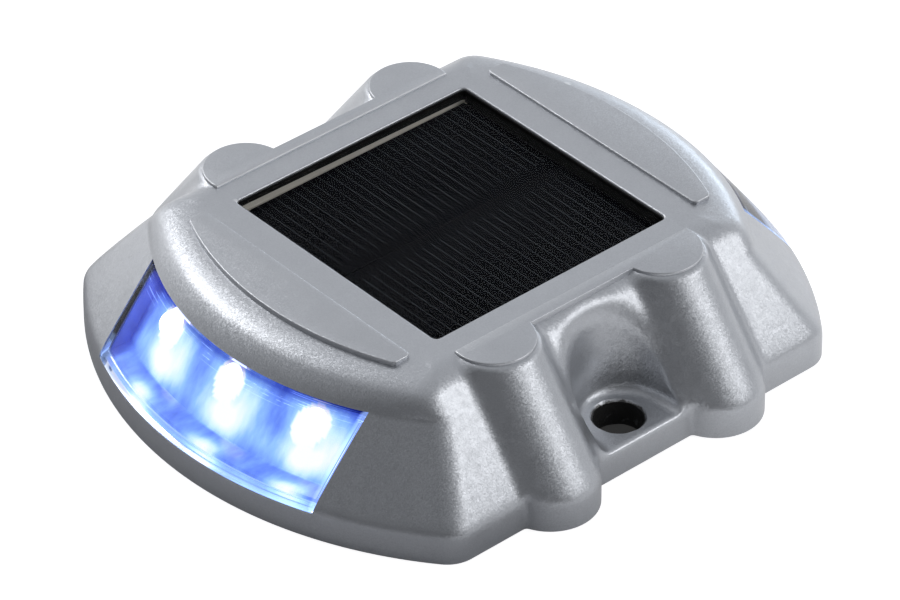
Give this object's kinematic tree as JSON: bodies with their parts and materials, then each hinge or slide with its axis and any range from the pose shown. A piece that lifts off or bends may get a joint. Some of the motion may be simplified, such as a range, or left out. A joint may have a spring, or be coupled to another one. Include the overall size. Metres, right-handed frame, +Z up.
{
  "type": "raised pavement marker",
  "caption": "Solar road stud: cast housing with sloped curved ends, lens windows with lights at both ends, a square solar panel window on top and two bolt-down tabs.",
  "frame": {"origin": "centre of the underside, on the plane of the road surface", "axes": "+Z up out of the road, -Y towards the front lens and the traffic, +X and -X towards the two fixing tabs"},
  "size_m": [0.11, 0.1212, 0.0257],
  "materials": {
    "cast_paint": "silver metallic paint on cast aluminium, semi-gloss",
    "black_plastic": "moulded, fine grain",
    "seal_rubber": "matt",
    "screw_steel": "turned and plated",
    "panel_backing": "pale laminate",
    "solar_cell": "dark silicon under a clear film, with thin grey lines",
    "window_clear": "clear and polished",
    "lens_clear": "clear moulded plastic, polished",
    "reflector": "smooth, pale",
    "led": "clear epoxy dome",
    "circuit_board": "solder mask",
    "cell_sleeve": "shrunk sleeve",
    "chip": "moulded",
    "capacitor_can": "drawn can",
    "button_rubber": "matt red",
    "lead_red": "insulation",
    "lead_black": "insulation",
    "lead_white": "insulation"
  },
  "bodies": {
    "casing": {"housing": "cast_paint", "bottom_cover": "black_plastic", "bottom_gasket": "seal_rubber", "cover_screw_1": "screw_steel", "cover_screw_2": "screw_steel", "cover_screw_3": "screw_steel", "cover_screw_4": "screw_steel", "panel_board": "panel_backing", "panel_seal": "seal_rubber", "solar_cell_left": "solar_cell", "solar_cell_right": "solar_cell", "window_plate": "window_clear", "front_lens": "lens_clear", "front_lens_seal": "seal_rubber", "front_reflector": "reflector", "front_led_board": "circuit_board", "front_led_1": "led", "front_led_2": "led", "front_led_3": "led", "rear_lens": "lens_clear", "rear_lens_seal": "seal_rubber", "rear_reflector": "reflector", "rear_led_board": "circuit_board", "rear_led_1": "led", "rear_led_2": "led", "rear_led_3": "led", "battery_cell": "cell_sleeve", "battery_cradle": "black_plastic", "main_board": "circuit_board", "charge_chip": "chip", "inductor": "chip", "capacitor": "capacitor_can", "switch_body": "black_plastic", "switch_spring": "screw_steel", "switch_seal": "seal_rubber", "panel_lead_positive": "lead_red", "panel_lead_negative": "lead_black", "battery_lead_positive": "lead_red", "battery_lead_negative": "lead_black", "front_led_lead": "lead_white", "rear_led_lead": "lead_white"},
    "button": {"switch_button": "button_rubber"}
  },
  "joints": [
    {"name": "button_press", "type": "slide", "parent": "casing", "child": "button", "axis": [0, 0, 1], "range_m": [0, 0.001], "stiffness_N_per_m": 800, "springref_m": -0.001, "deforming": ["switch_spring"]}
  ]
}
